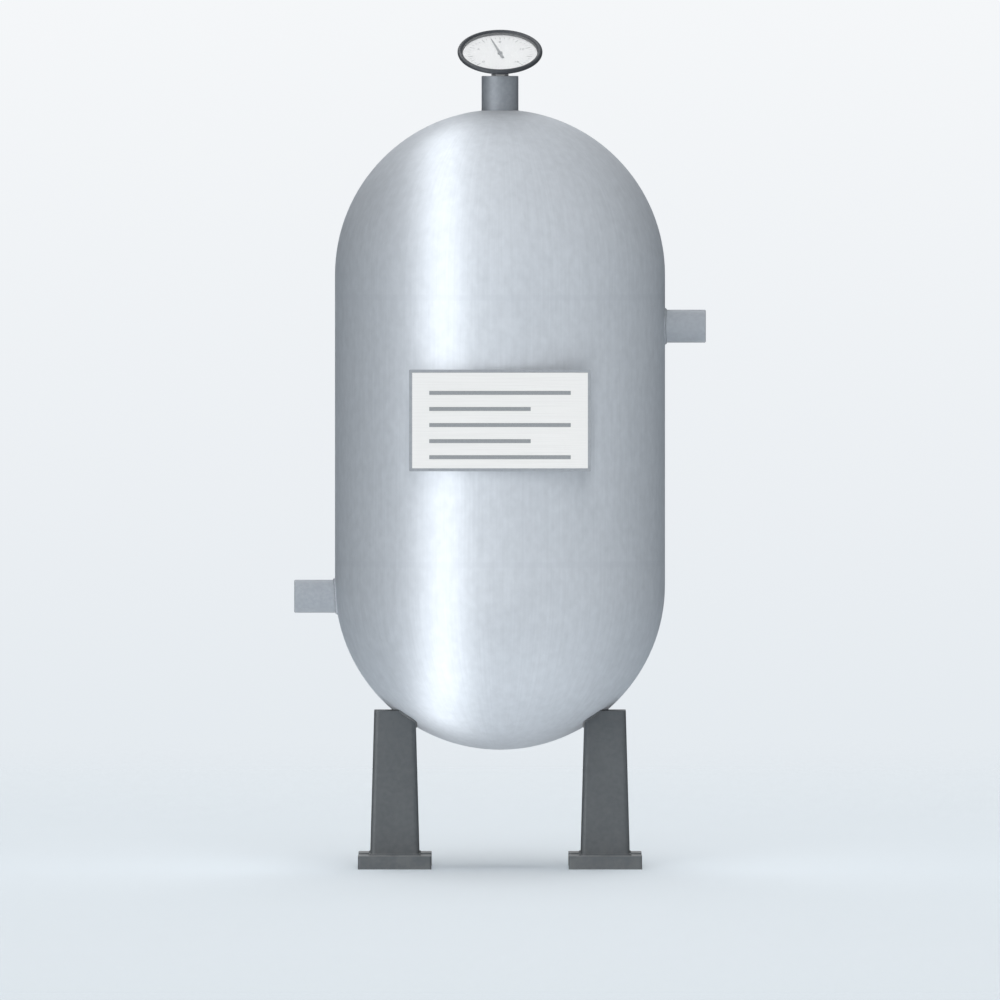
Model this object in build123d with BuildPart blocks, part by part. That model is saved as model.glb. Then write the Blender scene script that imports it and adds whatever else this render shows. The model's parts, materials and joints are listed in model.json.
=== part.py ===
from build123d import *
import math
import os

# Vertical air receiver: a welded capsule on splayed box legs, with side sockets, a data plate and a gauge.
# The frame stands on the floor at the centre of the anchor bolts, with +Z up and the data plate facing -Y.

# General fits, in millimetres as all lengths here.
fit_gap = 0.3
cut_overrun = 20

# Pressure vessel: a cylindrical course between two hemispherical heads with straight skirts.
vessel_diameter = 600
vessel_wall = 5
tangent_length = 564
head_skirt = 40
floor_clearance = 213

# Side sockets, one low on the left for the inlet and one high on the right for the outlet.
socket_diameter = 60
socket_projection = 74
socket_thread_diameter = 44.8
socket_thread_depth = 40
socket_throat_diameter = 38
socket_chamfer = 1.5
inlet_below_tangent = 21
outlet_below_tangent = 94

# Top neck, closed by a flush reducing bush that takes the gauge.
neck_diameter = 67
neck_bore_diameter = 56
neck_projection = 61
neck_chamfer = 1
bush_length = 25
bush_bore_diameter = 19

# Legs: tapered boxes in two pairs, close together at the top, splayed to the floor and coped to the head.
leg_rise = 72
leg_top_width = 75
leg_top_depth = 60
leg_foot_width = 89
leg_foot_depth = 75
leg_wall = 6
leg_corner_radius = 9
leg_hollow_corner_radius = 3
leg_half_gap = 12
leg_splay = 78
leg_bite = 41

# Base plates, lengthened outwards for one anchor bolt each.
base_thickness = 24
base_width = 133
base_corner_radius = 4
base_inner_lip = 20
anchor_from_leg = 30
anchor_edge = 28
anchor_hole_diameter = 18

# Data plate on a flat backing that two scribed side brackets hold clear of the shell.
plate_below_tangent = 262
plate_standoff = 12
backing_width = 329
backing_height = 184
backing_thickness = 3
backing_corner_radius = 2
plate_border = 5.5
plate_thickness = 1.5
engraved_rows = 5
engraved_height = 7.3
engraved_depth = 0.5
engraved_side_margin = 30.8
engraved_top_margin = 36.5
engraved_bottom_margin = 20.1
short_row_share = 0.717
bracket_thickness = 4
bracket_height = 150
bracket_inset = 8

# Pressure gauge, tilted back on an angled stem so that it is read from above.
dial_elevation = 60.5
gauge_reach = 50
bezel_ring_diameter = 145.4
bezel_bead = 9.1
case_diameter = 142
case_rim_depth = 6
case_rim_wall = 3
case_back_diameter = 80
case_depth = 23
case_wall = 1.5
dial_seat_depth = 4.5
dial_seat_width = 3.5
dial_thickness = 1
glass_thickness = 1.8
pointer_hub_diameter = 9
pointer_hub_height = 2.6
pointer_thickness = 0.8
pointer_length = 54
pointer_tail = 18
pointer_root_width = 5
pointer_tip_width = 1.2
pointer_lift = 1
pointer_angle = 107
stem_diameter = 20
stem_wrench_flats = 27
stem_wrench_height = 8
stem_spigot_length = 20

# Heights and radii that follow from the driving sizes.
vessel_radius = vessel_diameter / 2
inner_radius = vessel_radius - vessel_wall
lower_tangent = floor_clearance + vessel_radius
upper_tangent = lower_tangent + tangent_length
lower_seam = lower_tangent + head_skirt
upper_seam = upper_tangent - head_skirt
inlet_height = lower_tangent - inlet_below_tangent
outlet_height = upper_tangent - outlet_below_tangent
plate_height = upper_tangent - plate_below_tangent
neck_top = upper_tangent + vessel_radius + neck_projection

# Legs reach in under the bottom head by the bite, measured at their tops on the facing sides.
leg_top = floor_clearance + leg_rise
seat_x = math.sqrt(vessel_radius**2 - leg_half_gap**2 - (lower_tangent - leg_top) ** 2)
leg_x = seat_x - leg_bite + leg_top_width / 2
leg_top_y = leg_half_gap + leg_top_depth / 2
leg_foot_y = leg_top_y + leg_splay
anchor_y = leg_foot_y + leg_foot_depth / 2 + anchor_from_leg
base_inner_y = leg_foot_y - leg_foot_depth / 2 - base_inner_lip
base_outer_y = anchor_y + anchor_edge

# Rows of the data plate, evenly spaced between the margins.
plate_width = backing_width - 2 * plate_border
plate_tall = backing_height - 2 * plate_border
long_row = plate_width - 2 * engraved_side_margin
top_row_y = plate_tall / 2 - engraved_top_margin
row_pitch = (plate_tall - engraved_top_margin - engraved_bottom_margin) / (engraved_rows - 1)

# The gauge's axis leaves the middle of the neck's top and leans towards the front.
gauge_tilt = math.radians(dial_elevation)
gauge_axis = Vector(0, -math.cos(gauge_tilt), math.sin(gauge_tilt))
gauge_foot = Vector(0, 0, neck_top)
gauge_centre = gauge_foot + gauge_axis * gauge_reach
gauge_plane = Plane(origin=gauge_centre, x_dir=(1, 0, 0), z_dir=gauge_axis)
gauge_section = Plane(origin=gauge_centre, x_dir=(1, 0, 0), z_dir=Vector(1, 0, 0).cross(gauge_axis))
case_radius = case_diameter / 2
dial_radius = case_radius - case_rim_wall - fit_gap

# Planes across the vessel: each looks outwards along its socket's axis.
inlet_plane = Plane(origin=(0, 0, inlet_height), x_dir=(0, 1, 0), z_dir=(-1, 0, 0))
outlet_plane = Plane(origin=(0, 0, outlet_height), x_dir=(0, 1, 0), z_dir=(1, 0, 0))
neck_plane = Plane.XY
plate_plane = Plane(
    origin=(0, -vessel_radius - plate_standoff, plate_height), x_dir=(1, 0, 0), z_dir=(0, -1, 0)
)

os.makedirs("parts", exist_ok=True)


def save(builder, label):
    """Labels a finished piece and writes its own STEP file."""
    builder.part.label = label
    export_step(builder.part, f"parts/{label}.step")


# The air space inside the vessel, used to trim what passes through the wall.
with BuildPart() as air_space:
    with Locations((0, 0, lower_tangent)):
        Sphere(inner_radius)
        Cylinder(inner_radius, tangent_length, align=(Align.CENTER, Align.CENTER, Align.MIN))
    with Locations((0, 0, upper_tangent)):
        Sphere(inner_radius)


def drill_wall(plane, diameter):
    """Cuts the clearance hole for a socket out of the wall on the plane's outward side."""
    with BuildSketch(plane) as hole:
        Circle(diameter / 2 + fit_gap)
    extrude(hole.sketch, amount=neck_top, mode=Mode.SUBTRACT)


def formed_head(plane):
    """Revolves a hemispherical head and its straight skirt. The plane's Y points from crown to skirt."""
    with BuildSketch(plane) as section:
        with BuildLine():
            CenterArc((0, 0), vessel_radius, -90, 90)
            Polyline(
                (vessel_radius, 0),
                (vessel_radius, head_skirt),
                (inner_radius, head_skirt),
                (inner_radius, 0),
            )
            CenterArc((0, 0), inner_radius, 0, -90)
            Line((0, -inner_radius), (0, -vessel_radius))
        make_face()
    revolve(section.sketch, axis=Axis.Z)


# Bottom head, with the hole for the inlet in its left side.
with BuildPart() as bottom_head:
    formed_head(Plane(origin=(0, 0, lower_tangent), x_dir=(1, 0, 0), z_dir=(0, -1, 0)))
    drill_wall(inlet_plane, socket_diameter)
save(bottom_head, "bottom_head")

# Top head, with the hole for the neck in its crown.
with BuildPart() as top_head:
    formed_head(Plane(origin=(0, 0, upper_tangent), x_dir=(1, 0, 0), z_dir=(0, 1, 0)))
    drill_wall(neck_plane, neck_diameter)
save(top_head, "top_head")

# Shell course between the two weld seams, with the hole for the outlet in its right side.
with BuildPart() as shell:
    with BuildSketch(Plane.XY.offset(lower_seam)):
        Circle(vessel_radius)
        Circle(inner_radius, mode=Mode.SUBTRACT)
    extrude(amount=upper_seam - lower_seam)
    drill_wall(outlet_plane, socket_diameter)
save(shell, "shell")


def wall_tube(plane, diameter, reach):
    """Extrudes a tube blank out of the vessel and trims its inner end flush with the inside of the wall."""
    with BuildSketch(plane) as outline:
        Circle(diameter / 2)
    extrude(outline.sketch, amount=reach)
    add(air_space.part, mode=Mode.SUBTRACT)


def side_socket(plane, label):
    """Makes a half coupling: a thread bore at the mouth, a narrower throat through the wall."""
    with BuildPart() as socket:
        wall_tube(plane, socket_diameter, vessel_radius + socket_projection)
        mouth = socket.faces().sort_by(Axis(plane.origin, plane.z_dir))[-1]
        chamfer(mouth.edges(), socket_chamfer)
        with Locations(plane.offset(vessel_radius + socket_projection)):
            CounterBoreHole(
                socket_throat_diameter / 2, socket_thread_diameter / 2, socket_thread_depth
            )
    save(socket, label)


side_socket(inlet_plane, "inlet_socket")
side_socket(outlet_plane, "outlet_socket")

# Neck on the crown, bored right through.
with BuildPart() as top_neck:
    wall_tube(neck_plane.offset(upper_tangent), neck_diameter, neck_top - upper_tangent)
    chamfer(top_neck.faces().sort_by(Axis.Z)[-1].edges(), neck_chamfer)
    with Locations((0, 0, neck_top)):
        Hole(neck_bore_diameter / 2)
save(top_neck, "top_neck")

# Reducing bush, flush with the top of the neck.
with BuildPart() as neck_bush:
    with BuildSketch(Plane.XY.offset(neck_top - bush_length)):
        Circle(neck_bore_diameter / 2 - fit_gap)
        Circle(bush_bore_diameter / 2, mode=Mode.SUBTRACT)
    extrude(amount=bush_length)
save(neck_bush, "neck_bush")

# Gauge stem: a spigot in the bush, a hexagon for a wrench on top of it and the angled shank up to the case.
with BuildPart() as gauge_stem:
    with BuildSketch(gauge_plane.offset(-case_depth)):
        Circle(stem_diameter / 2)
    extrude(amount=case_depth - gauge_reach - stem_diameter)
    split(bisect_by=Plane.XY.offset(neck_top), keep=Keep.TOP)
    with BuildSketch(Plane.XY.offset(neck_top)):
        RegularPolygon(stem_wrench_flats / 2, side_count=6, major_radius=False)
    extrude(amount=stem_wrench_height)
    with BuildSketch(Plane.XY.offset(neck_top)):
        Circle(bush_bore_diameter / 2 - fit_gap)
    extrude(amount=-stem_spigot_length)
save(gauge_stem, "gauge_stem")

# Gauge case: a shallow dished pan with a ledge for the dial inside its rim.
with BuildPart() as gauge_case:
    with BuildSketch(gauge_section):
        with BuildLine():
            Polyline(
                (0, -case_depth),
                (case_back_diameter / 2, -case_depth),
                (case_radius, -case_rim_depth),
                (case_radius, 0),
                (case_radius - case_rim_wall, 0),
                (case_radius - case_rim_wall, -dial_seat_depth),
                (case_radius - case_rim_wall - dial_seat_width, -dial_seat_depth),
                (case_back_diameter / 2 - case_wall, case_wall - case_depth),
                (0, case_wall - case_depth),
                close=True,
            )
        make_face()
    revolve(axis=Axis(gauge_centre, gauge_axis))
save(gauge_case, "gauge_case")

# Dial, resting on the ledge.
with BuildPart() as gauge_dial:
    with BuildSketch(gauge_plane.offset(-dial_seat_depth)):
        Circle(dial_radius)
    extrude(amount=dial_thickness)
save(gauge_dial, "gauge_dial")

# Pointer: a tapered blade on a round hub that stands on the dial.
with BuildPart() as gauge_pointer:
    dial_face = gauge_plane.offset(dial_thickness - dial_seat_depth)
    heading = Vector(1, 0, 0).rotate(Axis((0, 0, 0), gauge_axis), pointer_angle)
    with BuildSketch(dial_face):
        Circle(pointer_hub_diameter / 2)
    extrude(amount=pointer_hub_height)
    with BuildSketch(Plane(dial_face.offset(pointer_lift).origin, x_dir=heading, z_dir=gauge_axis)):
        with BuildLine():
            Polyline(
                (-pointer_tail, -pointer_root_width / 2),
                (0, -pointer_root_width / 2),
                (pointer_length, -pointer_tip_width / 2),
                (pointer_length, pointer_tip_width / 2),
                (0, pointer_root_width / 2),
                (-pointer_tail, pointer_root_width / 2),
                close=True,
            )
        make_face()
    extrude(amount=pointer_thickness)
save(gauge_pointer, "gauge_pointer")

# Glass, on the rim of the case and under the lip of the bezel.
with BuildPart() as gauge_glass:
    with BuildSketch(gauge_plane):
        Circle(case_radius)
    extrude(amount=glass_thickness)
save(gauge_glass, "gauge_glass")

# Bezel: a round bead that wraps the rim and laps over the glass.
with BuildPart() as gauge_bezel:
    with BuildSketch(gauge_section):
        with Locations((bezel_ring_diameter / 2, 0)):
            Circle(bezel_bead / 2)
        with Locations((case_radius + fit_gap, glass_thickness)):
            Rectangle(bezel_bead, bezel_bead, align=(Align.MAX, Align.MAX), mode=Mode.SUBTRACT)
    revolve(axis=Axis(gauge_centre, gauge_axis))
save(gauge_bezel, "gauge_bezel")


def leg_body(x, side, wall, corner_radius):
    """Lofts the splayed box of a leg, set in by a wall all round, and copes it to the bottom head."""
    with BuildPart() as body:
        with BuildSketch(Plane.XY.offset(base_thickness)):
            with Locations((x, side * leg_foot_y)):
                RectangleRounded(leg_foot_width - 2 * wall, leg_foot_depth - 2 * wall, corner_radius)
        with BuildSketch(Plane.XY.offset(leg_top - wall)):
            with Locations((x, side * leg_top_y)):
                RectangleRounded(leg_top_width - 2 * wall, leg_top_depth - 2 * wall, corner_radius)
        loft()
        with Locations((0, 0, lower_tangent)):
            Sphere(vessel_radius + fit_gap + wall, mode=Mode.SUBTRACT)
    return body.part


def splayed_leg(x, side, label):
    """Hollows a leg from below, so that a wall closes its cope as well."""
    with BuildPart() as leg:
        add(leg_body(x, side, 0, leg_corner_radius))
        add(leg_body(x, side, leg_wall, leg_hollow_corner_radius), mode=Mode.SUBTRACT)
    save(leg, label)


def base_plate(x, side, label):
    """Makes a foot plate under one leg, with its anchor hole outside the leg."""
    with BuildPart() as plate:
        with BuildSketch():
            with Locations((x, side * (base_inner_y + base_outer_y) / 2)):
                RectangleRounded(base_width, base_outer_y - base_inner_y, base_corner_radius)
            with Locations((x, side * anchor_y)):
                Circle(anchor_hole_diameter / 2, mode=Mode.SUBTRACT)
        extrude(amount=base_thickness)
    save(plate, label)


for depth_name, depth_side in (("front", -1), ("back", 1)):
    for width_name, width_side in (("left", -1), ("right", 1)):
        splayed_leg(width_side * leg_x, depth_side, f"leg_{depth_name}_{width_name}")
        base_plate(width_side * leg_x, depth_side, f"base_plate_{depth_name}_{width_name}")

# Backing of the data plate, flat and clear of the shell.
with BuildPart() as plate_backing:
    with BuildSketch(plate_plane):
        RectangleRounded(backing_width, backing_height, backing_corner_radius)
    extrude(amount=backing_thickness)
save(plate_backing, "plate_backing")

# Data plate, set in from the edge of its backing by an even border and engraved with long and short rows.
with BuildPart() as data_plate:
    with BuildSketch(plate_plane.offset(backing_thickness)):
        Rectangle(plate_width, plate_tall)
    extrude(amount=plate_thickness)
    with BuildSketch(plate_plane.offset(backing_thickness + plate_thickness)):
        for row in range(engraved_rows):
            row_length = long_row if row % 2 == 0 else long_row * short_row_share
            with Locations((-long_row / 2, top_row_y - row * row_pitch)):
                Rectangle(row_length, engraved_height, align=(Align.MIN, Align.CENTER))
    extrude(amount=-engraved_depth, mode=Mode.SUBTRACT)
save(data_plate, "data_plate")


def plate_bracket(side, label):
    """Makes an upright strip from the backing to the shell, scribed to the shell's curve."""
    outer_x = backing_width / 2 - bracket_inset
    shell_drop = vessel_radius - math.sqrt(vessel_radius**2 - outer_x**2)
    with BuildPart() as bracket:
        with BuildSketch(plate_plane):
            with Locations((side * (outer_x - bracket_thickness / 2), 0)):
                Rectangle(bracket_thickness, bracket_height)
        extrude(amount=-plate_standoff - shell_drop - cut_overrun)
        with Locations((0, 0, plate_height)):
            Cylinder(vessel_radius + fit_gap, backing_height, mode=Mode.SUBTRACT)
    save(bracket, label)


plate_bracket(-1, "plate_bracket_left")
plate_bracket(1, "plate_bracket_right")
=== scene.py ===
"""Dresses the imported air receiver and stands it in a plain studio. Lengths are in metres."""

import json
import math

import bmesh
import bpy
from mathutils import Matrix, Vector, noise


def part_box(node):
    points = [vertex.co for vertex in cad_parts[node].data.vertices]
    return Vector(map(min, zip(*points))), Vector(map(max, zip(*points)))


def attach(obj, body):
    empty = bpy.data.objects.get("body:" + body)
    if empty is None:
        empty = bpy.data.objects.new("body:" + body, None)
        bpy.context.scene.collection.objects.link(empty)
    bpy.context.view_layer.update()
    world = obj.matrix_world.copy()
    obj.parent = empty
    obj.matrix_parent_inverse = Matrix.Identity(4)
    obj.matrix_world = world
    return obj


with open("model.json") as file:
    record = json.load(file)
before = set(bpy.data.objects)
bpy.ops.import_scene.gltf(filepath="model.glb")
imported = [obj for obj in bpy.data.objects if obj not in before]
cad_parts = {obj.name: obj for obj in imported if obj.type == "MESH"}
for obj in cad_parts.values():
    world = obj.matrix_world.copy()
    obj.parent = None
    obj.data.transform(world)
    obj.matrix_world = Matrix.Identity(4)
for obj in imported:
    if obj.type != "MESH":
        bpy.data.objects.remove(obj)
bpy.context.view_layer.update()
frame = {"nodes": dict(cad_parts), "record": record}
nodes = frame["nodes"]


# Sizes and places read from the frame.
LEVEL_SLACK = 1e-5


def middle_of(node):
    """Gives the middle of a node's box."""
    low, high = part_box(node)
    return (Vector(low) + Vector(high)) / 2


def size_of(node):
    """Gives the sides of a node's box."""
    low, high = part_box(node)
    return Vector(high) - Vector(low)


def points_at(node, height):
    """Gives the points of a node that lie at a height."""
    points = [vertex.co for vertex in nodes[node].data.vertices]
    return [point for point in points if abs(point.z - height) < LEVEL_SLACK]


def facing(node):
    """Gives the way that the broad face of a flat node looks, taken upwards."""
    broad = max(nodes[node].data.polygons, key=lambda face: face.area)
    normal = broad.normal.copy()
    return normal if normal.z > 0 else -normal


LOWER_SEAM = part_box("shell")[0][2]
UPPER_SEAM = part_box("shell")[1][2]
VESSEL_RADIUS = size_of("shell").y / 2
LOWER_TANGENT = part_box("bottom_head")[0][2] + VESSEL_RADIUS
UPPER_TANGENT = UPPER_SEAM - (LOWER_SEAM - LOWER_TANGENT)
LOWER_CENTRE = Vector((0, 0, LOWER_TANGENT))
UPWARDS = Vector((0, 0, 1))


# Colours, as red, green and blue out of 255.
def tone(red, green, blue):
    """Turns a display colour into the linear colour that shaders take, by the sRGB curve."""
    channels = []
    for level in (red, green, blue):
        share = level / 255
        channels.append(share / 12.92 if share <= 0.04045 else ((share + 0.055) / 1.055) ** 2.4)
    return (*channels, 1.0)


STEEL = tone(197, 203, 210)
STEEL_DARK = tone(192, 198, 205)
STEEL_PALE = tone(202, 208, 215)
STEEL_SEAM = tone(190, 196, 204)
FITTING = tone(150, 156, 163)
FITTING_DARK = tone(146, 152, 159)
FITTING_PALE = tone(154, 160, 167)
FITTING_WORN = tone(176, 181, 187)
WELD = tone(150, 156, 163)
WELD_DARK = tone(138, 144, 151)
LEG = tone(78, 82, 85)
LEG_DARK = tone(74, 78, 81)
LEG_PALE = tone(82, 86, 89)
LEG_WORN = tone(106, 110, 113)
LEG_DUST = tone(136, 137, 135)
BEZEL = tone(49, 53, 58)
BEZEL_DARK = tone(44, 48, 53)
BEZEL_WORN = tone(72, 76, 81)
FRAME_GREY = tone(151, 156, 162)
FRAME_DARK = tone(145, 150, 156)
PLATE = tone(232, 232, 231)
PLATE_DIM = tone(227, 227, 226)
PRINT = tone(139, 143, 146)
PRINT_PALE = tone(145, 149, 152)
DIAL = tone(251, 252, 253)
DIAL_DIM = tone(248, 249, 250)
POINTER = tone(144, 148, 152)
POINTER_DARK = tone(136, 140, 144)
NICKEL = tone(204, 206, 207)
NICKEL_DARK = tone(188, 190, 191)
GLASS = tone(246, 249, 250)
GLASS_DIM = tone(232, 236, 238)
SKY_TOP = tone(245, 247, 249)
SKY_MIDDLE = tone(235, 239, 243)
SKY_BOTTOM = tone(222, 230, 236)
FLOOR = tone(233, 241, 247)


# Node helpers.
NOISE_ROUGHNESS = 0.55
NOISE_LOW = 0.3
NOISE_HIGH = 0.7
BUMP_DEPTH = 0.0001
EDGE_SAMPLES = 6
EDGE_FLAT = 0.97
EDGE_SHARP = 0.75
CHIP_SPOTS = 90
CHIP_LOW = 0.42
CHIP_HIGH = 0.62


def new_material(name):
    """Starts a node material and hands back it, its tree and its main shader."""
    material = bpy.data.materials.new(name)
    material.use_nodes = True
    tree = material.node_tree
    return material, tree, tree.nodes["Principled BSDF"]


def add_node(tree, kind, **values):
    """Adds a node and sets inputs by name and plain properties by attribute."""
    node = tree.nodes.new(kind)
    for name, value in values.items():
        if name in node.inputs:
            node.inputs[name].default_value = value
        else:
            setattr(node, name, value)
    return node


def feed(tree, socket, value):
    """Links an output to a socket, or sets the socket to a plain number."""
    if isinstance(value, bpy.types.NodeSocket):
        tree.links.new(value, socket)
    else:
        socket.default_value = value


def calculate(tree, operation, first, second=0.0):
    """Adds a math node for one or two numbers and gives its result."""
    node = add_node(tree, "ShaderNodeMath", operation=operation)
    feed(tree, node.inputs[0], first)
    feed(tree, node.inputs[1], second)
    return node.outputs["Value"]


def add_up(tree, parts):
    """Adds several outputs, each times its own share."""
    total = 0.0
    for output, share in parts:
        total = calculate(tree, "ADD", calculate(tree, "MULTIPLY", output, share), total)
    return total


def ramp(tree, factor, stops):
    """Adds a colour ramp with the given (place, colour) stops and feeds it."""
    node = tree.nodes.new("ShaderNodeValToRGB")
    elements = node.color_ramp.elements
    while len(elements) < len(stops):
        elements.new(0.5)
    for element, (place, colour) in zip(elements, stops):
        element.position = place
        element.color = colour
    tree.links.new(factor, node.inputs["Fac"])
    return node.outputs["Color"]


def blend(tree, factor, first, second):
    """Mixes two colours, each an output or a plain colour."""
    node = add_node(tree, "ShaderNodeMix", data_type="RGBA")
    feed(tree, node.inputs["Factor"], factor)
    feed(tree, node.inputs["A"], first)
    feed(tree, node.inputs["B"], second)
    return node.outputs["Result"]


def place_on(tree, stretch=(1, 1, 1)):
    """Gives a point's place on the object, stretched along each axis."""
    place = add_node(tree, "ShaderNodeTexCoord")
    mapping = add_node(tree, "ShaderNodeMapping", Scale=stretch)
    tree.links.new(place.outputs["Object"], mapping.inputs["Vector"])
    return mapping.outputs["Vector"]


def height_on(tree):
    """Gives a point's height above the floor."""
    split = add_node(tree, "ShaderNodeSeparateXYZ")
    tree.links.new(place_on(tree), split.inputs["Vector"])
    return split.outputs["Z"]


def speckle(tree, spots, detail=2.0, stretch=(1, 1, 1)):
    """Gives soft noise with about this many spots to the metre."""
    node = add_node(tree, "ShaderNodeTexNoise", Scale=spots, Detail=detail, Roughness=NOISE_ROUGHNESS)
    tree.links.new(place_on(tree, stretch), node.inputs["Vector"])
    return node.outputs["Fac"]


def between(tree, value, low, high, result_low=0.0, result_high=1.0):
    """Maps a number from one span to another with soft ends."""
    spans = {"From Min": low, "From Max": high, "To Min": result_low, "To Max": result_high}
    node = add_node(tree, "ShaderNodeMapRange", interpolation_type="SMOOTHSTEP", **spans)
    feed(tree, node.inputs["Value"], value)
    return node.outputs["Result"]


def rough_from(tree, shader, factor, low, high, extra=0.0):
    """Lets the roughness wander between two levels, with an extra on top."""
    level = between(tree, factor, NOISE_LOW, NOISE_HIGH, low, high)
    tree.links.new(calculate(tree, "ADD", level, extra), shader.inputs["Roughness"])


def bump_from(tree, shader, height, strength):
    """Raises the surface by a height pattern of a real depth."""
    node = add_node(tree, "ShaderNodeBump", Strength=strength, Distance=BUMP_DEPTH)
    tree.links.new(height, node.inputs["Height"])
    tree.links.new(node.outputs["Normal"], shader.inputs["Normal"])


def edge_mask(tree, radius):
    """Is near one on edges and zero on flats, broken up by fine noise."""
    soft = add_node(tree, "ShaderNodeBevel", samples=EDGE_SAMPLES, Radius=radius)
    flat = add_node(tree, "ShaderNodeNewGeometry")
    agree = add_node(tree, "ShaderNodeVectorMath", operation="DOT_PRODUCT")
    tree.links.new(soft.outputs["Normal"], agree.inputs[0])
    tree.links.new(flat.outputs["Normal"], agree.inputs[1])
    edge = between(tree, agree.outputs["Value"], EDGE_FLAT, EDGE_SHARP)
    chips = between(tree, speckle(tree, CHIP_SPOTS, detail=4.0), CHIP_LOW, CHIP_HIGH)
    return calculate(tree, "MULTIPLY", edge, chips)


# Materials: one for each slot of the record, one for bare welds and one for print.
BRUSHING_LINES = 78.0
BRUSHING_RISE = 5.0
FINE_FINISH_EDGE = -0.7
COARSE_FINISH_EDGE = -0.1
COARSE_FINISH_EXTRA = 0.13
GRAIN_SHARE = 0.5
CLOUD_SHARE = 0.2
BRUSHING_SHARE = 0.3
SEAM_HALF_WIDTH = 0.007
SEAM_STRENGTH = 0.3
LEG_CLOUD_SHARE = 0.5
LEG_PEEL_SHARE = 0.5
LEG_WEAR = 0.5
DUST_HEIGHT = 0.075
DUST_STRENGTH = 0.12
BEZEL_WEAR = 0.35


def way_outward(tree):
    """Gives the level direction from the tank's middle line to a point."""
    outward = add_node(tree, "ShaderNodeVectorMath", operation="NORMALIZE")
    tree.links.new(place_on(tree, (1, 1, 0)), outward.inputs[0])
    return outward.outputs["Vector"]


def vessel_brushing(tree):
    """Gives fine streaks that run up the tank's side and over its domes."""
    streaks = add_node(tree, "ShaderNodeVectorMath", operation="MULTIPLY_ADD")
    tree.links.new(way_outward(tree), streaks.inputs[0])
    streaks.inputs[1].default_value = (BRUSHING_LINES, BRUSHING_LINES, BRUSHING_LINES)
    tree.links.new(place_on(tree, (0, 0, BRUSHING_RISE)), streaks.inputs[2])
    pattern = add_node(tree, "ShaderNodeTexNoise", Scale=1.0, Detail=2.0, Roughness=NOISE_ROUGHNESS)
    tree.links.new(streaks.outputs["Vector"], pattern.inputs["Vector"])
    return pattern.outputs["Fac"]


def coarse_finish(tree):
    """Gives the extra roughness of the sides and back. On the front, the outward way's Y is -1."""
    split = add_node(tree, "ShaderNodeSeparateXYZ")
    tree.links.new(way_outward(tree), split.inputs["Vector"])
    edges = (FINE_FINISH_EDGE, COARSE_FINISH_EDGE)
    return between(tree, split.outputs["Y"], *edges, 0.0, COARSE_FINISH_EXTRA)


def satin_steel():
    """Brushed tank steel with fine mottling, a finer front and weld seams ground flush."""
    material, tree, shader = new_material("satin_steel")
    brushing = vessel_brushing(tree)
    grain = speckle(tree, spots=75, stretch=(1, 1, 0.7))
    clouds = speckle(tree, spots=6, detail=3.0)
    parts = [(grain, GRAIN_SHARE), (clouds, CLOUD_SHARE), (brushing, BRUSHING_SHARE)]
    mottle = add_up(tree, parts)
    colour = ramp(tree, mottle, [(0.36, STEEL_DARK), (0.5, STEEL), (0.64, STEEL_PALE)])
    for height in (LOWER_SEAM, UPPER_SEAM):
        above = calculate(tree, "SUBTRACT", height_on(tree), height)
        distance = calculate(tree, "ABSOLUTE", above)
        seam = between(tree, distance, SEAM_HALF_WIDTH, SEAM_HALF_WIDTH / 2, 0.0, SEAM_STRENGTH)
        colour = blend(tree, seam, colour, STEEL_SEAM)
    tree.links.new(colour, shader.inputs["Base Color"])
    shader.inputs["Metallic"].default_value = 0.3
    shader.inputs["Specular IOR Level"].default_value = 0.0
    rough_from(tree, shader, brushing, low=0.285, high=0.315, extra=coarse_finish(tree))
    bump_from(tree, shader, brushing, strength=0.07)
    return material


def turned_steel():
    """Mid-grey steel of the neck and sockets, rubbed bright on edges."""
    material, tree, shader = new_material("turned_steel")
    grain = speckle(tree, spots=140, detail=3.0)
    colour = ramp(tree, grain, [(0.34, FITTING_DARK), (0.5, FITTING), (0.66, FITTING_PALE)])
    worn = blend(tree, edge_mask(tree, radius=0.0015), colour, FITTING_WORN)
    tree.links.new(worn, shader.inputs["Base Color"])
    shader.inputs["Metallic"].default_value = 0.2
    rough_from(tree, shader, speckle(tree, spots=60), low=0.46, high=0.54)
    bump_from(tree, shader, speckle(tree, spots=420), strength=0.15)
    return material


def weld_metal():
    """Bare weld beads on the steel, darker in random spots."""
    material, tree, shader = new_material("weld_metal")
    colour = ramp(tree, speckle(tree, spots=260, detail=3.0), [(0.36, WELD_DARK), (0.6, WELD)])
    tree.links.new(colour, shader.inputs["Base Color"])
    shader.inputs["Metallic"].default_value = 0.25
    rough_from(tree, shader, speckle(tree, spots=180), low=0.42, high=0.55)
    bump_from(tree, shader, speckle(tree, spots=700), strength=0.25)
    return material


def leg_coat():
    """Dark grey paint with slight orange peel, worn edges and dust near the floor."""
    material, tree, shader = new_material("leg_coat")
    clouds = speckle(tree, spots=9, detail=3.0)
    peel = speckle(tree, spots=110)
    mottle = add_up(tree, [(clouds, LEG_CLOUD_SHARE), (peel, LEG_PEEL_SHARE)])
    colour = ramp(tree, mottle, [(0.38, LEG_DARK), (0.5, LEG), (0.62, LEG_PALE)])
    worn = calculate(tree, "MULTIPLY", edge_mask(tree, radius=0.002), LEG_WEAR)
    colour = blend(tree, worn, colour, LEG_WORN)
    low_down = between(tree, height_on(tree), DUST_HEIGHT, 0.0, 0.0, DUST_STRENGTH)
    patches = between(tree, speckle(tree, spots=40, detail=3.0), low=0.4, high=0.65)
    dust = calculate(tree, "MULTIPLY", low_down, patches)
    tree.links.new(blend(tree, dust, colour, LEG_DUST), shader.inputs["Base Color"])
    rough_from(tree, shader, speckle(tree, spots=30), low=0.46, high=0.56)
    bump_from(tree, shader, speckle(tree, spots=520, detail=1.0), strength=0.25)
    return material


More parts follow.
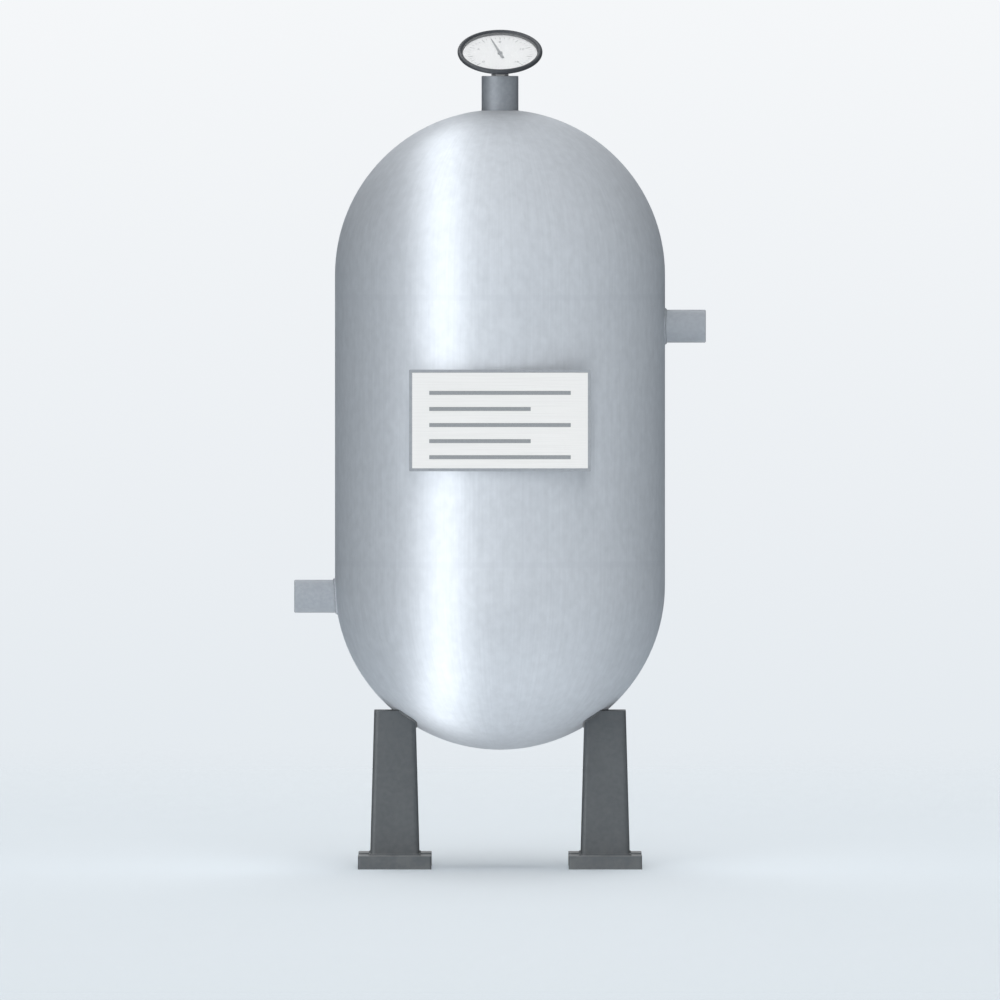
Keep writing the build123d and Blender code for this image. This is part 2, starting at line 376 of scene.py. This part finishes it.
def frame_coat():
    """Grey paint of the plate's backing and brackets."""
    material, tree, shader = new_material("frame_coat")
    colour = ramp(tree, speckle(tree, spots=120, detail=3.0), [(0.36, FRAME_DARK), (0.56, FRAME_GREY)])
    tree.links.new(colour, shader.inputs["Base Color"])
    rough_from(tree, shader, speckle(tree, spots=50), low=0.42, high=0.52)
    bump_from(tree, shader, speckle(tree, spots=600, detail=1.0), strength=0.2)
    return material


def plate_metal():
    """Pale anodised data plate, brushed across."""
    material, tree, shader = new_material("plate_metal")
    brushing = speckle(tree, spots=1, stretch=(7, 60, 520))
    colour = ramp(tree, brushing, [(0.34, PLATE_DIM), (0.6, PLATE)])
    tree.links.new(colour, shader.inputs["Base Color"])
    rough_from(tree, shader, brushing, low=0.4, high=0.48)
    bump_from(tree, shader, brushing, strength=0.1)
    return material


def row_paint():
    """Grey filler in the engraved rows of the data plate and ink of the dial."""
    material, tree, shader = new_material("row_paint")
    colour = ramp(tree, speckle(tree, spots=300), [(0.36, PRINT_PALE), (0.58, PRINT)])
    tree.links.new(colour, shader.inputs["Base Color"])
    rough_from(tree, shader, speckle(tree, spots=120), low=0.5, high=0.6)
    return material


def bezel_coat():
    """Gunmetal finish of the gauge's case and bezel, rubbed bright in places."""
    material, tree, shader = new_material("bezel_coat")
    colour = ramp(tree, speckle(tree, spots=160, detail=3.0), [(0.36, BEZEL_DARK), (0.56, BEZEL)])
    patches = speckle(tree, spots=45, detail=4.0)
    rubbed = between(tree, patches, low=0.58, high=0.75, result_high=BEZEL_WEAR)
    tree.links.new(blend(tree, rubbed, colour, BEZEL_WORN), shader.inputs["Base Color"])
    rough_from(tree, shader, speckle(tree, spots=70), low=0.46, high=0.56)
    bump_from(tree, shader, speckle(tree, spots=800, detail=1.0), strength=0.15)
    return material


def dial_enamel():
    """White enamel of the dial."""
    material, tree, shader = new_material("dial_enamel")
    colour = ramp(tree, speckle(tree, spots=60), [(0.34, DIAL_DIM), (0.56, DIAL)])
    tree.links.new(colour, shader.inputs["Base Color"])
    rough_from(tree, shader, speckle(tree, spots=90), low=0.5, high=0.6)
    return material


def pointer_coat():
    """Grey paint of the pointer."""
    material, tree, shader = new_material("pointer_coat")
    colour = ramp(tree, speckle(tree, spots=400), [(0.36, POINTER_DARK), (0.56, POINTER)])
    tree.links.new(colour, shader.inputs["Base Color"])
    rough_from(tree, shader, speckle(tree, spots=150), low=0.45, high=0.55)
    return material


def nickel():
    """Nickel-plated brass of the gauge's stem."""
    material, tree, shader = new_material("nickel")
    colour = ramp(tree, speckle(tree, spots=150, detail=3.0), [(0.36, NICKEL_DARK), (0.58, NICKEL)])
    tree.links.new(colour, shader.inputs["Base Color"])
    shader.inputs["Metallic"].default_value = 0.15
    rough_from(tree, shader, speckle(tree, spots=90), low=0.34, high=0.44)
    return material


def clear_glass():
    """Thin clear pane, with faint dust."""
    material, tree, shader = new_material("clear_glass")
    colour = ramp(tree, speckle(tree, spots=80, detail=3.0), [(0.4, GLASS_DIM), (0.6, GLASS)])
    tree.links.new(colour, shader.inputs["Base Color"])
    rough_from(tree, shader, speckle(tree, spots=60), low=0.04, high=0.09)
    shader.inputs["Alpha"].default_value = 0.1
    return material


MATERIALS = {
    "vessel_steel": satin_steel(),
    "fitting_steel": turned_steel(),
    "leg_paint": leg_coat(),
    "plate_frame": frame_coat(),
    "plate_face": plate_metal(),
    "gauge_metal": bezel_coat(),
    "gauge_brass": nickel(),
    "dial_face": dial_enamel(),
    "pointer_paint": pointer_coat(),
    "gauge_glass": clear_glass(),
}
WELD_MATERIAL = weld_metal()
INK_MATERIAL = row_paint()

for row in frame["record"]["subparts"]:
    slots = nodes[row["node"]].data.materials
    slots.clear()
    slots.append(MATERIALS[row["material_slot"]])


def add_piece(name, mesh, material, smooth=True):
    """Turns a mesh under construction into a piece of the object."""
    bmesh.ops.recalc_face_normals(mesh, faces=mesh.faces)
    data = bpy.data.meshes.new(name)
    mesh.to_mesh(data)
    mesh.free()
    for face in data.polygons:
        face.use_smooth = smooth
    data.materials.append(material)
    piece = bpy.data.objects.new(name, data)
    bpy.context.collection.objects.link(piece)
    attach(piece, "root")


# Weld beads: rippled tubes along the lines where pieces meet.
RIPPLE_PITCH = 0.0032
RIPPLE_STEPS = 6
FEWEST_RIPPLES = 2
RIPPLE_DEPTH_SHARE = 0.16
BEAD_SIDES = 10
BEAD_WANDER_SHARE = 0.07
NOISE_SPOTS_PER_METRE = 90
SHORTEST_STEP = 1e-9
LOOP_POINTS = 240
FITTING_BEAD = 0.0036
LEG_BEAD = 0.0032
BRACKET_BEAD = 0.0024


def even_points(points, closed):
    """Spaces points evenly along a run, a whole number of ripples long."""
    run = points + points[:1] if closed else points
    marks = [0.0]
    for start, end in zip(run, run[1:]):
        marks.append(marks[-1] + (end - start).length)
    count = RIPPLE_STEPS * max(round(marks[-1] / RIPPLE_PITCH), FEWEST_RIPPLES)
    spaced = []
    span = 0
    for step in range(count if closed else count + 1):
        mark = min(marks[-1] * step / count, marks[-1])
        while span < len(marks) - 2 and marks[span + 1] < mark:
            span += 1
        share = (mark - marks[span]) / max(marks[span + 1] - marks[span], SHORTEST_STEP)
        spaced.append(run[span].lerp(run[span + 1], share))
    return spaced


def bead_ring(mesh, point, along, outward, reach):
    """Adds one ring of a bead round a point of its path."""
    side = along.cross(outward).normalized()
    up = side.cross(along)
    turns = [math.tau * corner / BEAD_SIDES for corner in range(BEAD_SIDES)]
    spokes = [math.cos(turn) * up + math.sin(turn) * side for turn in turns]
    return [mesh.verts.new(point + reach * spoke) for spoke in spokes]


def add_bead(mesh, points, outward, radius, closed=True):
    """Sweeps one bead of even arched ripples. The outward function gives its way at a point."""
    path = even_points(points, closed)
    count = len(path)
    rings = []
    for index, point in enumerate(path):
        before = path[index - 1] if closed or index else point
        after = path[(index + 1) % count] if closed or index < count - 1 else point
        phase = index % RIPPLE_STEPS / RIPPLE_STEPS
        swell = 1 - RIPPLE_DEPTH_SHARE * (1 - 4 * phase * (1 - phase))
        wander = 1 + BEAD_WANDER_SHARE * noise.noise(point * NOISE_SPOTS_PER_METRE)
        along = (after - before).normalized()
        rings.append(bead_ring(mesh, point, along, outward(point), radius * swell * wander))
    for index in range(count if closed else count - 1):
        ring, following = rings[index], rings[(index + 1) % count]
        for corner in range(BEAD_SIDES):
            beside = (corner + 1) % BEAD_SIDES
            mesh.faces.new((ring[corner], ring[beside], following[beside], following[corner]))
    if not closed:
        mesh.faces.new(rings[0])
        mesh.faces.new(rings[-1])


def vessel_reach(y, z):
    """Gives how far the vessel's skin stands from the upright middle plane at a depth and height."""
    over = max(z - UPPER_TANGENT, LOWER_TANGENT - z, 0)
    return math.sqrt(VESSEL_RADIUS**2 - y * y - over * over)


def socket_root(node):
    """Gives the line where a side socket meets the vessel."""
    middle = middle_of(node)
    radius = size_of(node).z / 2
    points = []
    for step in range(LOOP_POINTS):
        turn = math.tau * step / LOOP_POINTS
        y = radius * math.cos(turn)
        z = middle.z + radius * math.sin(turn)
        points.append(Vector((math.copysign(vessel_reach(y, z), middle.x), y, z)))
    return points


def neck_root():
    """Gives the ring where the neck meets the crown."""
    radius = size_of("top_neck").x / 2
    height = UPPER_TANGENT + math.sqrt(VESSEL_RADIUS**2 - radius * radius)
    turns = [math.tau * step / LOOP_POINTS for step in range(LOOP_POINTS)]
    return [Vector((radius * math.cos(turn), radius * math.sin(turn), height)) for turn in turns]


def build_fitting_welds():
    """Welds the two sockets and the neck to the vessel."""
    mesh = bmesh.new()
    for node in ("inlet_socket", "outlet_socket"):
        height = middle_of(node).z
        add_bead(
            mesh, socket_root(node), lambda point: Vector((0, point.y, point.z - height)), FITTING_BEAD
        )
    add_bead(mesh, neck_root(), lambda point: Vector((point.x, point.y, 0)), FITTING_BEAD)
    add_piece("fitting_welds", mesh, WELD_MATERIAL)


LEG_CORNER = 0.009
COPE_START_SHARE = 0.55
COPE_REACH_RADIANS = 0.5
HALVINGS = 30


def leg_end(leg, height):
    """Gives the middle and half size of a leg's outline at its foot or its uncoped top."""
    x = middle_of(leg).x
    points = points_at(leg, height)
    depths = [point.y for point in points]
    half_width = max(abs(point.x) for point in points) - abs(x)
    middle = Vector((x, (max(depths) + min(depths)) / 2))
    return middle, Vector((half_width, (max(depths) - min(depths)) / 2))


def inside_leg(point, foot, top, low, high):
    """Tells whether a point is within the full, uncoped box of a leg."""
    if not low <= point.z <= high:
        return False
    share = (point.z - low) / (high - low)
    middle = foot[0].lerp(top[0], share)
    half = foot[1].lerp(top[1], share)
    past_x = max(abs(point.x - middle.x) - half.x + LEG_CORNER, 0)
    past_y = max(abs(point.y - middle.y) - half.y + LEG_CORNER, 0)
    return past_x * past_x + past_y * past_y <= LEG_CORNER * LEG_CORNER


def cope_line(foot, top, low, high):
    """Walks out from the middle of a cope on the head, in each direction, to the leg's edge."""
    middle, half = top
    inner_x = middle.x - math.copysign(half.x * COPE_START_SHARE, middle.x)
    drop = math.sqrt(VESSEL_RADIUS**2 - inner_x * inner_x - middle.y * middle.y)
    start = Vector((inner_x, middle.y, -drop)).normalized()
    first = start.orthogonal().normalized()
    second = start.cross(first)
    points = []
    for step in range(LOOP_POINTS):
        turn = math.tau * step / LOOP_POINTS
        heading = math.cos(turn) * first + math.sin(turn) * second
        near = 0.0
        far = COPE_REACH_RADIANS
        for _ in range(HALVINGS):
            angle = (near + far) / 2
            point = LOWER_CENTRE + VESSEL_RADIUS * (math.cos(angle) * start + math.sin(angle) * heading)
            if inside_leg(point, foot, top, low, high):
                near = angle
            else:
                far = angle
        points.append(point)
    return points


CORNER_WAYS = ((1, 1), (-1, 1), (-1, -1), (1, -1))
CORNER_STEPS = 12


def foot_line(foot, height):
    """Gives the rounded rectangle where a leg stands on its base plate."""
    middle, half = foot
    points = []
    for quarter, (way_x, way_y) in enumerate(CORNER_WAYS):
        centre_x = middle.x + way_x * (half.x - LEG_CORNER)
        centre_y = middle.y + way_y * (half.y - LEG_CORNER)
        for step in range(CORNER_STEPS + 1):
            turn = math.pi / 2 * (quarter + step / CORNER_STEPS)
            x = centre_x + LEG_CORNER * math.cos(turn)
            y = centre_y + LEG_CORNER * math.sin(turn)
            points.append(Vector((x, y, height)))
    return points


def build_leg_weld(leg):
    """Welds one leg to the bottom head and to its base plate, painted over with the leg."""
    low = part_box(leg)[0][2]
    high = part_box(leg)[1][2]
    foot = leg_end(leg, low)
    top = leg_end(leg, high)
    mesh = bmesh.new()
    add_bead(mesh, cope_line(foot, top, low, high), lambda point: point - LOWER_CENTRE, LEG_BEAD)
    add_bead(mesh, foot_line(foot, low), lambda point: UPWARDS, LEG_BEAD)
    add_piece(f"weld_{leg}", mesh, MATERIALS["leg_paint"])


def build_bracket_weld(bracket):
    """Welds one upright bracket of the data plate to the shell along both its sides."""
    low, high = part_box(bracket)
    mesh = bmesh.new()
    for x in (low[0], high[0]):
        y = -vessel_reach(x, LOWER_TANGENT)
        ends = [Vector((x, y, low[2] + BRACKET_BEAD)), Vector((x, y, high[2] - BRACKET_BEAD))]
        add_bead(mesh, ends, lambda point: Vector((point.x, point.y, 0)), BRACKET_BEAD, closed=False)
    add_piece(f"weld_{bracket}", mesh, MATERIALS["plate_frame"])


# Threads: a helical ridge inside each socket's mouth.
THREAD_PITCH = 0.0023
THREAD_BORE = 0.0224
THREAD_HEIGHT = 0.0010
THREAD_SINK = 0.0002
THREAD_FROM_MOUTH = 0.003
THREAD_LENGTH = 0.034
THREAD_STEPS_PER_TURN = 48
THREAD_ROOT_SHARE = 0.42
THREAD_CREST_SHARE = 0.1


def thread_section(fade):
    """Gives the radius and the shift along the axis of a ridge's four corners."""
    root = THREAD_BORE + THREAD_SINK
    crest = THREAD_BORE - THREAD_HEIGHT * fade
    wide = THREAD_ROOT_SHARE * THREAD_PITCH
    narrow = THREAD_CREST_SHARE * THREAD_PITCH
    return ((root, -wide), (crest, -narrow), (crest, narrow), (root, wide))


def build_thread(node):
    """Lines one socket's mouth with a ridge that fades out at both ends."""
    low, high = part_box(node)
    middle = middle_of(node)
    way = math.copysign(1, middle.x)
    mouth = high[0] if way > 0 else low[0]
    steps = round(THREAD_LENGTH / THREAD_PITCH * THREAD_STEPS_PER_TURN)
    mesh = bmesh.new()
    rows = []
    for step in range(steps + 1):
        turn = math.tau * step / THREAD_STEPS_PER_TURN
        along = THREAD_FROM_MOUTH + THREAD_PITCH * step / THREAD_STEPS_PER_TURN
        fade = min(step, steps - step, THREAD_STEPS_PER_TURN) / THREAD_STEPS_PER_TURN
        row = []
        for radius, shift in thread_section(fade):
            y = radius * math.cos(turn)
            z = middle.z + radius * math.sin(turn)
            row.append(mesh.verts.new((mouth - way * (along + shift), y, z)))
        rows.append(row)
    for row, following in zip(rows, rows[1:]):
        for corner in range(len(row)):
            beside = (corner + 1) % len(row)
            mesh.faces.new((row[corner], row[beside], following[beside], following[corner]))
    mesh.faces.new(rows[0])
    mesh.faces.new(rows[-1])
    add_piece(f"thread_{node}", mesh, MATERIALS["fitting_steel"], smooth=False)


# Filler in the data plate's engraved rows, just below its face.
ROW_COUNT = 5
ROW_HEIGHT = 0.0073
ROW_DEPTH = 0.0005
ROW_SIDE_MARGIN = 0.0308
ROW_TOP_MARGIN = 0.0365
ROW_BOTTOM_MARGIN = 0.0201
SHORT_ROW_SHARE = 0.717
ROW_CLEARANCE = 0.0001


def add_row(mesh, left, right, face, height):
    """Adds one bar of filler between two ends, sunk behind the plate's face."""
    size = Vector((right - left, ROW_DEPTH, ROW_HEIGHT)) - 2 * ROW_CLEARANCE * Vector((1, 1, 1))
    place = Vector(((left + right) / 2, face + ROW_DEPTH / 2, height))
    for vertex in bmesh.ops.create_cube(mesh, size=1)["verts"]:
        vertex.co = vertex.co * size + place


def build_rows():
    """Fills the long and short rows of the data plate."""
    low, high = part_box("data_plate")
    left = low[0] + ROW_SIDE_MARGIN
    length = high[0] - ROW_SIDE_MARGIN - left
    top = high[2] - ROW_TOP_MARGIN
    pitch = (top - low[2] - ROW_BOTTOM_MARGIN) / (ROW_COUNT - 1)
    mesh = bmesh.new()
    for number in range(ROW_COUNT):
        share = SHORT_ROW_SHARE if number % 2 else 1
        add_row(mesh, left, left + length * share, low[1], top - number * pitch)
    bmesh.ops.bevel(
        mesh, geom=mesh.edges[:], offset=ROW_CLEARANCE, segments=2, affect="EDGES", profile=0.5
    )
    add_piece("engraved_row_filler", mesh, INK_MATERIAL, smooth=False)


# Printed scale on the dial: ticks and plain numbers, as thin raised ink.
DIAL_MIDDLE = middle_of("gauge_dial")
DIAL_AXIS = facing("gauge_dial")
DIAL_RIGHT = Vector((1, 0, 0))
DIAL_UP = DIAL_AXIS.cross(DIAL_RIGHT)
DIAL_THICKNESS = 0.001
INK_HEIGHT = 0.00012
INK_WELD = 1e-6
SCALE_START = math.radians(225)
SCALE_SWEEP = math.radians(270)
SCALE_TOP = 16
SCALE_STEPS = 32
STEPS_PER_LONG_TICK = 4
STEPS_PER_NUMBER = 8
SCALE_RADIUS = 0.0590
LONG_TICK = 0.0090
SHORT_TICK = 0.0050
LONG_TICK_WIDTH = 0.0011
SHORT_TICK_WIDTH = 0.0006
NUMBER_SIZE = 0.0095
NUMBER_RADIUS = 0.0425


def dial_point(across, up, lift):
    """Gives a place on the dial's face."""
    return DIAL_MIDDLE + DIAL_RIGHT * across + DIAL_UP * up + DIAL_AXIS * (DIAL_THICKNESS / 2 + lift)


def add_tick(mesh, turn, length, width):
    """Adds one radial tick, closed on all sides."""
    along = Vector((math.cos(turn), math.sin(turn)))
    across = Vector((-along.y, along.x)) * width / 2
    outer = along * SCALE_RADIUS
    inner = along * (SCALE_RADIUS - length)
    corners = [outer + across, inner + across, inner - across, outer - across]
    lower = [mesh.verts.new(dial_point(corner.x, corner.y, 0)) for corner in corners]
    upper = [mesh.verts.new(dial_point(corner.x, corner.y, INK_HEIGHT)) for corner in corners]
    mesh.faces.new(lower)
    mesh.faces.new(upper)
    for index in range(len(corners)):
        beside = (index + 1) % len(corners)
        mesh.faces.new((lower[index], lower[beside], upper[beside], upper[index]))


def add_number(mesh, text, turn):
    """Prints a plain number upright on the dial."""
    curve = bpy.data.curves.new("dial_number", "FONT")
    curve.body = text
    curve.size = NUMBER_SIZE
    curve.extrude = INK_HEIGHT / 2
    curve.align_x = "CENTER"
    curve.align_y = "CENTER"
    letters = bpy.data.objects.new("dial_number", curve)
    shape = bpy.data.meshes.new_from_object(letters)
    place = Vector((math.cos(turn), math.sin(turn))) * NUMBER_RADIUS
    for vertex in shape.vertices:
        across, up, lift = vertex.co
        vertex.co = dial_point(place.x + across, place.y + up, INK_HEIGHT / 2 + lift)
    mesh.from_mesh(shape)
    bpy.data.objects.remove(letters)
    bpy.data.curves.remove(curve)
    bpy.data.meshes.remove(shape)


def build_scale():
    """Prints the dial's ticks and numbers."""
    mesh = bmesh.new()
    for step in range(SCALE_STEPS + 1):
        turn = SCALE_START - SCALE_SWEEP * step / SCALE_STEPS
        if step % STEPS_PER_LONG_TICK:
            add_tick(mesh, turn, SHORT_TICK, SHORT_TICK_WIDTH)
        else:
            add_tick(mesh, turn, LONG_TICK, LONG_TICK_WIDTH)
        if step % STEPS_PER_NUMBER == 0:
            add_number(mesh, str(SCALE_TOP * step // SCALE_STEPS), turn)
    bmesh.ops.remove_doubles(mesh, verts=mesh.verts, dist=INK_WELD)
    add_piece("dial_scale", mesh, INK_MATERIAL, smooth=False)


build_fitting_welds()
for depth_name in ("front", "back"):
    for width_name in ("left", "right"):
        build_leg_weld(f"leg_{depth_name}_{width_name}")
for width_name in ("left", "right"):
    build_bracket_weld(f"plate_bracket_{width_name}")
for socket in ("inlet_socket", "outlet_socket"):
    build_thread(socket)
build_rows()
build_scale()

# The satin vessel mirrors the studio but not the CAD pieces fixed to it.
VESSEL_NODES = ("shell", "top_head", "bottom_head")
for name, node in nodes.items():
    node.visible_glossy = name in VESSEL_NODES

# Studio: camera far off on the front, so that the view is nearly parallel.
PHOTO_WIDTH = 1.818
CAMERA_DISTANCE = 70.0
CAMERA_ELEVATION = math.radians(0.75)
CAMERA_SENSOR_MM = 36.0
CAMERA_CLIP = 200.0
LOOK_AT = Vector((0, 0, 0.667))


def build_camera():
    """Stands the camera in front, at the photo's viewing angle and width."""
    data = bpy.data.cameras.new("camera")
    data.sensor_width = CAMERA_SENSOR_MM
    data.lens = CAMERA_SENSOR_MM * CAMERA_DISTANCE / PHOTO_WIDTH
    data.clip_end = CAMERA_CLIP
    camera = bpy.data.objects.new("camera", data)
    away = Vector((0, -math.cos(CAMERA_ELEVATION), math.sin(CAMERA_ELEVATION)))
    camera.location = LOOK_AT + away * CAMERA_DISTANCE
    camera.rotation_euler = (math.pi / 2 - CAMERA_ELEVATION, 0, 0)
    bpy.context.collection.objects.link(camera)
    bpy.context.scene.camera = camera


# World: a pale background, a tent of soft light that metal mirrors, and a dim even fill.
# Lean is how far a mirror turns sideways to show that part of the tent to someone in front.
# Mirrors don't see the floor, so the tent is brighter below, as a pale floor would be.
HALF_VIEW = math.atan(PHOTO_WIDTH / 2 / CAMERA_DISTANCE)
SKY_LOW = math.sin(-CAMERA_ELEVATION - HALF_VIEW)
SKY_HIGH = math.sin(-CAMERA_ELEVATION + HALF_VIEW)
FILL_LEVEL = 0.05
TENT_BODY = 0.85
TENT_ROUND = 1.5
TENT_TOP = 0.76
TENT_STREAK = 3.5
STREAK_LEAN = -0.345
STREAK_WIDTH = 0.143
STREAK_START = 0.5
STREAK_END = 0.95
FLOOR_SHEEN = 1.45
FLOOR_SHEEN_START = -0.45
FLOOR_SHEEN_FULL = -0.95
NEAR_ZERO = 1e-4
WHITE = (1, 1, 1, 1)


def tent_level(tree, direction):
    """Gives the tent's brightness in a direction."""
    behind = calculate(tree, "SUBTRACT", 1.0, direction.outputs["Y"])
    spread = calculate(tree, "SQRT", calculate(tree, "MULTIPLY", behind, 2.0))
    safe_spread = calculate(tree, "MAXIMUM", spread, NEAR_ZERO)
    lean = calculate(tree, "DIVIDE", direction.outputs["X"], safe_spread)
    round_off = calculate(tree, "SUBTRACT", 1.0, calculate(tree, "MULTIPLY", lean, lean))
    rounded = calculate(tree, "POWER", calculate(tree, "MAXIMUM", round_off, 0.0), TENT_ROUND)
    body = calculate(tree, "MINIMUM", calculate(tree, "MULTIPLY", rounded, TENT_BODY), TENT_TOP)
    sheen_span = (FLOOR_SHEEN_START, FLOOR_SHEEN_FULL, 1.0, FLOOR_SHEEN)
    body = calculate(tree, "MULTIPLY", body, between(tree, direction.outputs["Z"], *sheen_span))
    offset = calculate(tree, "DIVIDE", calculate(tree, "SUBTRACT", lean, STREAK_LEAN), STREAK_WIDTH)
    fall = calculate(tree, "MULTIPLY", calculate(tree, "MULTIPLY", offset, offset), -1.0)
    in_front = between(tree, direction.outputs["Y"], STREAK_END, STREAK_START)
    streak = calculate(tree, "MULTIPLY", calculate(tree, "EXPONENT", fall), in_front)
    return add_up(tree, [(body, 1.0), (streak, TENT_STREAK)])


def mix_shaders(tree, factor, first, second):
    """Mixes two shaders and gives the result."""
    node = add_node(tree, "ShaderNodeMixShader")
    tree.links.new(factor, node.inputs["Fac"])
    tree.links.new(first, node.inputs[1])
    tree.links.new(second, node.inputs[2])
    return node.outputs["Shader"]


def build_world():
    """Gives sight the pale background, mirrors the tent and all else the fill."""
    world = bpy.data.worlds.new("studio")
    world.use_nodes = True
    tree = world.node_tree
    tree.nodes.clear()
    path = add_node(tree, "ShaderNodeLightPath")
    place = add_node(tree, "ShaderNodeTexCoord")
    direction = add_node(tree, "ShaderNodeSeparateXYZ")
    tree.links.new(place.outputs["Generated"], direction.inputs["Vector"])
    rise = add_node(tree, "ShaderNodeMapRange", **{"From Min": SKY_LOW, "From Max": SKY_HIGH})
    tree.links.new(direction.outputs["Z"], rise.inputs["Value"])
    sky = ramp(tree, rise.outputs["Result"], [(0, SKY_BOTTOM), (0.5, SKY_MIDDLE), (1, SKY_TOP)])
    seen = add_node(tree, "ShaderNodeBackground", Strength=1.0)
    tree.links.new(sky, seen.inputs["Color"])
    tent = add_node(tree, "ShaderNodeBackground", Color=WHITE)
    tree.links.new(tent_level(tree, direction), tent.inputs["Strength"])
    fill = add_node(tree, "ShaderNodeBackground", Color=WHITE, Strength=FILL_LEVEL)
    lit = mix_shaders(
        tree, path.outputs["Is Glossy Ray"], fill.outputs["Background"], tent.outputs["Background"]
    )
    seen_rays = (path.outputs["Is Camera Ray"], path.outputs["Is Transmission Ray"])
    sight = calculate(tree, "MAXIMUM", *seen_rays)
    out = add_node(tree, "ShaderNodeOutputWorld")
    tree.links.new(mix_shaders(tree, sight, lit, seen.outputs["Background"]), out.inputs["Surface"])
    bpy.context.scene.world = world


# Lamps: an arch of soft suns in the plane x = 0, from below in front, over the top, to low behind.
ARCH_START = -37.5
ARCH_STEP = 15.0
ARCH_SUNS = 15
SUN_LEVEL = 0.352
LOWEST_SUN_LEVEL = 0.25
SUN_WIDTH = math.radians(24)


def build_arch():
    """Lights the object by how far its faces turn sideways, the same at all heights."""
    for number in range(ARCH_SUNS):
        angle = math.radians(ARCH_START + ARCH_STEP * number)
        lamp = bpy.data.lights.new("arch_sun", "SUN")
        lamp.energy = SUN_LEVEL if number else LOWEST_SUN_LEVEL
        lamp.angle = SUN_WIDTH
        sun = bpy.data.objects.new("arch_sun", lamp)
        beam = Vector((0, -math.cos(angle), math.sin(angle)))
        sun.rotation_euler = beam.to_track_quat("Z", "Y").to_euler()
        sun.visible_glossy = False
        bpy.context.collection.objects.link(sun)


# Floor: a wide disc that fades into the background and shows the shadow.
FLOOR_RADIUS = 12.0
FLOOR_FADE = 3.0
FLOOR_SIDES = 96


def floor_material():
    """Pale matt floor, clear towards its rim and from below."""
    material, tree, shader = new_material("pale_floor")
    shader.inputs["Base Color"].default_value = FLOOR
    shader.inputs["Roughness"].default_value = 0.9
    shader.inputs["Specular IOR Level"].default_value = 0.0
    length = add_node(tree, "ShaderNodeVectorMath", operation="LENGTH")
    tree.links.new(place_on(tree), length.inputs[0])
    fade = between(tree, length.outputs["Value"], FLOOR_FADE, FLOOR_RADIUS)
    surface = add_node(tree, "ShaderNodeNewGeometry")
    unseen = calculate(tree, "MAXIMUM", fade, surface.outputs["Backfacing"])
    clear = add_node(tree, "ShaderNodeBsdfTransparent")
    faded = mix_shaders(tree, unseen, shader.outputs["BSDF"], clear.outputs["BSDF"])
    tree.links.new(faded, tree.nodes["Material Output"].inputs["Surface"])
    return material


def build_floor():
    """Lays the floor under the base plates."""
    mesh = bmesh.new()
    bmesh.ops.create_circle(mesh, cap_ends=True, segments=FLOOR_SIDES, radius=FLOOR_RADIUS)
    data = bpy.data.meshes.new("floor")
    mesh.to_mesh(data)
    mesh.free()
    data.materials.append(floor_material())
    floor = bpy.data.objects.new("floor", data)
    bpy.context.collection.objects.link(floor)
    floor.visible_shadow = False
    floor.visible_glossy = False


build_camera()
build_world()
build_arch()
build_floor()
bpy.context.scene.view_settings.view_transform = "Standard"
